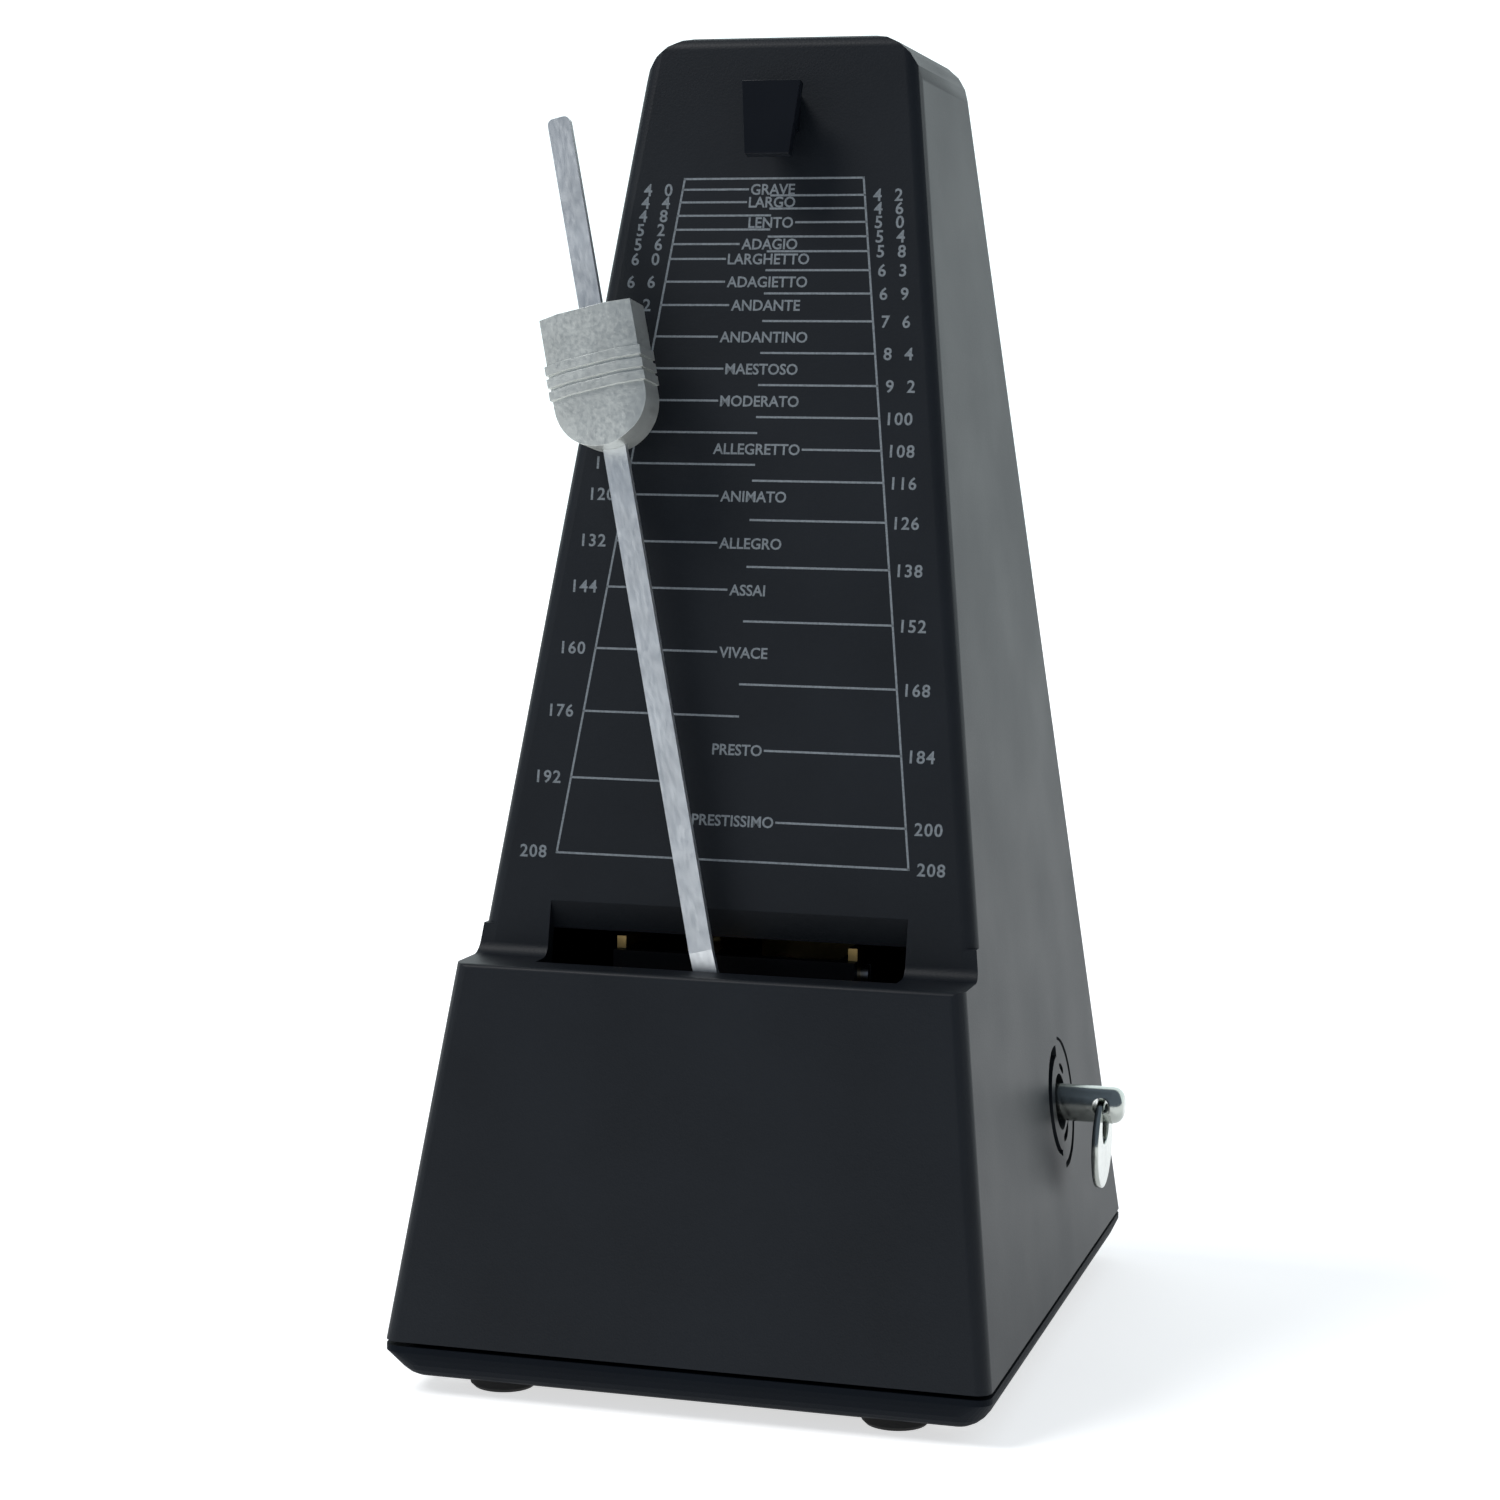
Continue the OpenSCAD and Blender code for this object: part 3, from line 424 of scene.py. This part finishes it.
def arc_cutter(radius, width, depth, start, end):
    """A curved bar that cuts one winding mark, spun about the key's middle, with thinner ends."""
    steps = max(6, round(abs(end - start) / 4))
    bpy.ops.mesh.primitive_plane_add(size=1, location=(0, 0, 0))
    bar = bpy.context.object
    bar.dimensions = (width, 2 * depth, 0)
    bpy.ops.object.transform_apply(scale=True)
    bar.rotation_euler = (math.radians(90), 0, 0)
    bar.location = (radius, 0, 0)
    bpy.ops.object.transform_apply(location=True, rotation=True)
    bar.rotation_euler = (0, 0, math.radians(start))
    bpy.ops.object.transform_apply(rotation=True)
    edit(bar)
    # a positive spin turns from Y towards X, against the angles of the marks
    bpy.ops.mesh.spin(steps=steps, angle=math.radians(start - end), center=(0, 0, 0), axis=(0, 0, 1))
    bpy.ops.mesh.select_all(action="SELECT")
    bpy.ops.mesh.remove_doubles(threshold=0.000001)
    bpy.ops.mesh.normals_make_consistent(inside=False)
    close_edit()
    for vertex in bar.data.vertices:
        angle = math.degrees(math.atan2(vertex.co.y, vertex.co.x))
        share = ((angle - start) % 360) / (end - start)
        share = min(max(share, 0), 1)
        off = math.hypot(vertex.co.x, vertex.co.y) - radius
        wide = 0.35 + 0.65 * math.sin(math.pi * min(1, share + 0.08)) ** 0.6
        factor = (radius + off * wide) / (radius + off)
        vertex.co.x *= factor
        vertex.co.y *= factor
    return bar


class METRONOME_OT_case(bpy.types.Operator):
    """Case, tray, feet and the winding marks round the key"""

    bl_idname = "metronome.case"
    bl_label = "Case"

    def execute(self, context):
        sizes = context.scene.metronome_case
        black = plastic("moulded black", tuple(sizes.plastic), 0.5, sizes.grain, 0.000035)
        paint(black, "case_shell")
        paint(plastic("tray black", tuple(sizes.plastic), 0.6, sizes.grain, 0.000035, 0.06), "base_tray")
        paint(plastic("foot rubber", (0.012, 0.012, 0.012), 0.8, 0.0008, 0.00005), "rubber_feet")
        case = copy_of("case_shell", "case_with_marks", black)
        low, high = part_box("key_pin")
        middle = Vector((0, (low.y + high.y) / 2, (low.z + high.z) / 2))
        wall_x = CASE_HIGH.x - math.tan(sizes.side_lean) * (middle.z - CASE_LOW.z)
        wall = (Matrix.Translation((wall_x, middle.y, middle.z))
                @ Matrix.Rotation(math.radians(90) - sizes.side_lean, 4, "Y"))
        # radius, width, and start and end in degrees from straight down, turning towards the back
        marks = [(0.0109, 0.0016, -5, 169), (0.00885, 0.003, 178, 343),
                 (0.0063, 0.0013, 131, 163), (0.0064, 0.0015, -3, 48)]
        for radius, width, start, end in marks:
            cutter = arc_cutter(radius, width, sizes.mark_depth, start, end)
            set_place(cutter, wall)
            pick(case)
            cut = case.modifiers.new("mark", "BOOLEAN")
            cut.object = cutter
            cut.operation = "DIFFERENCE"
            cut.solver = "EXACT"
            bpy.ops.object.modifier_apply(modifier=cut.name)
            bpy.data.objects.remove(cutter)
        smooth(case, 30)
        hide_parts("case_shell")
        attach(case, "housing")
        return {"FINISHED"}


class METRONOME_OT_catch(bpy.types.Operator):
    """The hook that holds the rod's tip"""

    bl_idname = "metronome.catch"
    bl_label = "Rod catch"

    def execute(self, context):
        satin = plastic("catch plastic", (0.003, 0.0042, 0.007), 0.3, 0.0006, 0.000008, 0.25)
        hook = copy_of("rod_catch", "catch_hook", satin)
        bevel(hook, 0.0004, 4, 30)
        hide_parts("rod_catch")
        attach(hook, "housing")
        return {"FINISHED"}


# ---------------------------------------------------------------- scale


def reach_height(sizes, beats):
    """Height of a tempo's line, from where the weight must sit for the pendulum to beat so often."""
    w2 = (math.pi * beats / 60) ** 2
    pull = w2 * sizes.spin - GRAVITY * sizes.balance
    reach = (-GRAVITY + math.sqrt(GRAVITY ** 2 - 4 * w2 * pull)) / (2 * w2)
    return sizes.foot + sizes.rise * reach


def half_width(sizes, height):
    share = (sizes.top - height) / (sizes.top - sizes.bottom)
    return sizes.top_half + share * (sizes.bottom_half - sizes.top_half)


def up_slope(sizes, height):
    """Distance up the plate's slope at a height."""
    return (height - CASE_LOW.z) / math.cos(sizes.plate_lean)


def rule(sizes, start, end):
    """One marked line between two points of the drawing: a block with its ends drawn to a soft point."""
    ax, ay = start
    bx, by = end
    length = math.hypot(bx - ax, by - ay)
    bpy.ops.mesh.primitive_cube_add(size=1, location=(0, 0, 0))
    bar = bpy.context.object
    bar.scale = (length + sizes.line, sizes.line, 2 * sizes.proud)
    bpy.ops.object.transform_apply(scale=True)
    edit(bar)
    bpy.ops.mesh.bevel(offset=sizes.line * 0.3, segments=2, affect="EDGES", clamp_overlap=True)
    close_edit()
    bar.rotation_euler = (0, 0, math.atan2(by - ay, bx - ax))
    bar.location = ((ax + bx) / 2, (ay + by) / 2, 0)
    bpy.ops.object.transform_apply(location=True, rotation=True)
    return bar


def lettering(sizes, text, height, bold, wide=1.0, spacing=1.0):
    """A word or number as a mesh, standing on the origin with its left edge there."""
    bpy.ops.object.text_add(location=(0, 0, 0))
    letters = bpy.context.object
    letters.data.body = text
    letters.data.size = 1
    letters.data.offset = bold
    letters.data.space_character = spacing
    letters.data.resolution_u = 3
    letters.data.extrude = 0.005
    pick(letters)
    bpy.ops.object.convert(target="MESH")
    letters = bpy.context.object
    tall = max(v.co.y for v in letters.data.vertices)
    left = min(v.co.x for v in letters.data.vertices)
    scale = height / tall
    letters.location = (-left * scale * wide, 0, 0)
    letters.scale = (scale * wide, scale, sizes.proud / 0.005)
    bpy.ops.object.transform_apply(location=True, scale=True)
    return letters


def shift(item, x, y):
    item.location = (x, y, 0)
    pick(item)
    bpy.ops.object.transform_apply(location=True)


class METRONOME_OT_scale(bpy.types.Operator):
    """Lines, tempo words and numbers on the sloping plate"""

    bl_idname = "metronome.scale"
    bl_label = "Tempo scale"

    def execute(self, context):
        sizes = context.scene.metronome_scale
        pale = marking("scale marking", tuple(sizes.ink))
        place = plate_place(sizes)
        top, bottom = up_slope(sizes, sizes.top), up_slope(sizes, sizes.bottom)
        lines = [
            rule(sizes, (-sizes.top_half, top), (sizes.top_half, top)),
            rule(sizes, (-sizes.bottom_half, bottom), (sizes.bottom_half, bottom)),
            rule(sizes, (-sizes.bottom_half, bottom), (-sizes.top_half, top)),
            rule(sizes, (sizes.bottom_half, bottom), (sizes.top_half, top)),
        ]
        words, numbers = [], []
        gap = 0.0005
        for side, beats_list in ((-1, LEFT_BEATS), (1, RIGHT_BEATS)):
            for beats in beats_list:
                height = max(reach_height(sizes, beats), sizes.bottom)
                y = up_slope(sizes, height)
                x = half_width(sizes, height)
                inner = -0.0002
                if beats in WORDS:
                    word = lettering(sizes, WORDS[beats], sizes.word_h, 0.018, 0.97)
                    width = max(v.co.x for v in word.data.vertices)
                    shift(word, -width / 2, y - sizes.word_h / 2)
                    words.append(word)
                    inner = side * (width / 2 + gap)
                if beats == 192:
                    inner = -0.0085
                if beats != 208:
                    lines.append(rule(sizes, (side * x, y), (inner, y)))
                digits = str(beats)
                short = len(digits) == 2
                number = lettering(sizes, digits[0] + " " + digits[1] if short else digits,
                                   sizes.number_h, 0.016, 1.0, 1.45 if short else 1.12)
                width = max(v.co.x for v in number.data.vertices)
                off = x + (0.0014 if side > 0 else 0.00175)
                shift(number, off if side > 0 else -off - width, y - sizes.number_h / 2)
                numbers.append(number)
        for items, name in ((lines, "scale_lines"), (words, "scale_words"), (numbers, "scale_numbers")):
            piece = join(items, name, pale)
            set_place(piece, place)
            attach(piece, "housing")
        return {"FINISHED"}


# ---------------------------------------------------------------- pendulum


class METRONOME_OT_pendulum(bpy.types.Operator):
    """The flat rod and the sliding weight"""

    bl_idname = "metronome.pendulum"
    bl_label = "Pendulum"

    def execute(self, context):
        sizes = context.scene.metronome_pendulum
        turn = (-sizes.rod_lean, sizes.rest_tilt, 0)
        steel = metal("brushed rod steel", tuple(sizes.steel), 0.34, 0.0006,
                      stretch=(1, 1, 0.06), turn=turn, depth=0.000004, vary=0.1, metallic=0.8)
        rod = copy_of("pendulum_rod", "swing_rod", steel)
        bevel(rod, sizes.rod_round, 2, 30)
        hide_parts("pendulum_rod")
        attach(rod, "pendulum")
        nickel = metal("satin nickel", tuple(sizes.nickel), 0.38, 0.0007, depth=0.000004, vary=0.14,
                       metallic=0.7)
        weight = copy_of("sliding_weight", "slide_weight", nickel)
        bevel(weight, sizes.weight_round, 3, 25)
        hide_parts("sliding_weight")
        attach(weight, "sliding_weight")
        return {"FINISHED"}


# ---------------------------------------------------------------- key


class METRONOME_OT_key(bpy.types.Operator):
    """The key's pin and its folding ring"""

    bl_idname = "metronome.key"
    bl_label = "Winding key"

    def execute(self, context):
        sizes = context.scene.metronome_key
        bright = metal("bright nickel", tuple(sizes.plating), 0.17, 0.0009, depth=0.000003, vary=0.06)
        for node, name, body in (("key_pin", "winding_pin", "winder"),
                                 ("key_ring", "folding_ring", "key_ring")):
            piece = copy_of(node, name, bright)
            bevel(piece, sizes.edge, 3, 35)
            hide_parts(node)
            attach(piece, body)
        return {"FINISHED"}


# ---------------------------------------------------------------- movement


class METRONOME_OT_movement(bpy.types.Operator):
    """Finishes of the clockwork inside the case"""

    bl_idname = "metronome.movement"
    bl_label = "Movement"

    def execute(self, context):
        along = (1, 1, 0.08)
        across = (0.05, 1, 1)
        paint(metal("rolled brass", (0.5, 0.35, 0.14), 0.34, 0.0008, stretch=along, depth=0.000006),
              "left_plate", "right_plate", "rear_potence", "great_wheel", "second_wheel",
              "crown_wheel", "pendulum_hub")
        # The front bridge shows through the slot; its near-black colour is painted shade for the slot, not
        # the bridge's own colour
        paint(metal("front bridge painted shade", (0.02, 0.02, 0.022), 0.5, 0.0006, depth=0.000006), "front_bridge")
        paint(metal("sintered bronze", (0.55, 0.34, 0.16), 0.42, 0.0003, depth=0.00001),
              "staff_bushes", "winding_bushes", "second_bushes", "escape_bush")
        paint(metal("turned steel", (0.5, 0.51, 0.53), 0.26, 0.0004, stretch=across, depth=0.000004),
              "plate_pillars", "winding_arbor", "spring_collet", "ratchet_wheel", "retaining_ring", "click",
              "click_spring", "second_arbor", "second_pinion", "escape_arbor", "escape_pinion",
              "pendulum_staff", "pallets", "hub_rivets", "weight_spring")
        paint(metal("blued spring steel", (0.07, 0.09, 0.16), 0.22, 0.0006, stretch=along, depth=0.000003),
              "mainspring")
        paint(metal("zinc plate", (0.62, 0.63, 0.66), 0.3, 0.0005, depth=0.000005),
              "base_screws", "catch_screw", "pillar_screws", "movement_screws", "bridge_screws",
              "potence_screws", "click_screws")
        paint(metal("oiled iron", (0.14, 0.14, 0.15), 0.45, 0.0012, depth=0.00003), "counterweight")
        return {"FINISHED"}


# ---------------------------------------------------------------- stage


class METRONOME_OT_stage(bpy.types.Operator):
    """Floor, lights and camera"""

    bl_idname = "metronome.stage"
    bl_label = "Stage"

    def execute(self, context):
        sizes = context.scene.metronome_stage
        deselect()
        bpy.ops.mesh.primitive_plane_add(size=12, location=(0, 0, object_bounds()[0].z))
        floor = bpy.context.object
        material, _, _, shader = finish_tree("pale floor")
        shader.inputs["Base Color"].default_value = (*sizes.floor, 1)
        shader.inputs["Roughness"].default_value = 0.9
        shader.inputs["Specular IOR Level"].default_value = 0.1
        shader.inputs["Emission Color"].default_value = (1, 1, 1, 1)
        shader.inputs["Emission Strength"].default_value = sizes.floor_glow
        name_piece(floor, "floor", material)
        floor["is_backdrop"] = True

        bpy.ops.mesh.primitive_plane_add(size=1, location=(-0.8, 3, 0), rotation=(math.radians(90), 0, 0))
        wall = bpy.context.object
        wall.scale = (14, 8, 1)
        glow, _, _, shader = finish_tree("lit backdrop")
        shader.inputs["Base Color"].default_value = (0, 0, 0, 1)
        shader.inputs["Emission Color"].default_value = (0.9, 1, 1.02, 1)
        shader.inputs["Emission Strength"].default_value = sizes.backdrop
        set_place(wall)
        name_piece(wall, "backdrop", glow)
        wall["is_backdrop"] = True

        light = bpy.data.lights.new("main light", "SUN")
        light.energy = sizes.sun
        light.angle = sizes.sun_width
        sun = bpy.data.objects.new("main light", light)
        context.scene.collection.objects.link(sun)
        sun.rotation_euler = Vector((0.5, 0.3, -0.8)).to_track_quat("-Z", "Y").to_euler()

        world = bpy.data.worlds.new("room")
        world.use_nodes = True
        world.node_tree.nodes["Background"].inputs["Color"].default_value = (0.72, 0.88, 1.1, 1)
        world.node_tree.nodes["Background"].inputs["Strength"].default_value = sizes.sky
        context.scene.world = world
        context.scene.view_settings.view_transform = "Standard"

        ahead = Vector((math.sin(sizes.yaw) * math.cos(sizes.pitch),
                        math.cos(sizes.yaw) * math.cos(sizes.pitch), math.sin(sizes.pitch)))
        level = Vector((math.cos(sizes.yaw), -math.sin(sizes.yaw), 0))
        upright = level.cross(ahead)
        right = math.cos(sizes.roll) * level + math.sin(sizes.roll) * upright
        up = math.cos(sizes.roll) * upright - math.sin(sizes.roll) * level
        camera = bpy.data.cameras.new("camera")
        camera.lens = sizes.lens
        camera.sensor_width = 36
        camera.clip_start = 0.01
        item = bpy.data.objects.new("camera", camera)
        context.scene.collection.objects.link(item)
        place = Matrix.Identity(4)
        for row in range(3):
            place[row][0] = right[row]
            place[row][1] = up[row]
            place[row][2] = -ahead[row]
            place[row][3] = sizes.camera_place[row]
        item.matrix_world = place
        context.scene.camera = item
        return {"FINISHED"}


class METRONOME_PT_sidebar(bpy.types.Panel):
    """Lists the metronome's pieces"""

    bl_idname = "METRONOME_PT_sidebar"
    bl_label = "Metronome"
    bl_space_type = "VIEW_3D"
    bl_region_type = "UI"
    bl_category = "Metronome"

    def draw(self, context):
        for operator in OPERATORS:
            self.layout.operator(operator.bl_idname)


OPERATORS = (METRONOME_OT_case, METRONOME_OT_catch, METRONOME_OT_scale, METRONOME_OT_pendulum,
             METRONOME_OT_key, METRONOME_OT_movement, METRONOME_OT_stage)
GROUPS = {"metronome_case": CaseSizes, "metronome_scale": ScaleSizes, "metronome_pendulum": PendulumSizes,
          "metronome_key": KeySizes, "metronome_stage": StageSizes}


def register():
    for name, group in GROUPS.items():
        bpy.utils.register_class(group)
        setattr(bpy.types.Scene, name, bpy.props.PointerProperty(type=group))
    for operator in OPERATORS:
        bpy.utils.register_class(operator)
    bpy.utils.register_class(METRONOME_PT_sidebar)


def unregister():
    bpy.utils.unregister_class(METRONOME_PT_sidebar)
    for operator in reversed(OPERATORS):
        bpy.utils.unregister_class(operator)
    for name, group in GROUPS.items():
        delattr(bpy.types.Scene, name)
        bpy.utils.unregister_class(group)


def main():
    register()
    bpy.ops.metronome.case()
    bpy.ops.metronome.catch()
    bpy.ops.metronome.scale()
    bpy.ops.metronome.pendulum()
    bpy.ops.metronome.key()
    bpy.ops.metronome.movement()
    bpy.ops.metronome.stage()
    deselect()


if __name__ == "__main__":
    main()
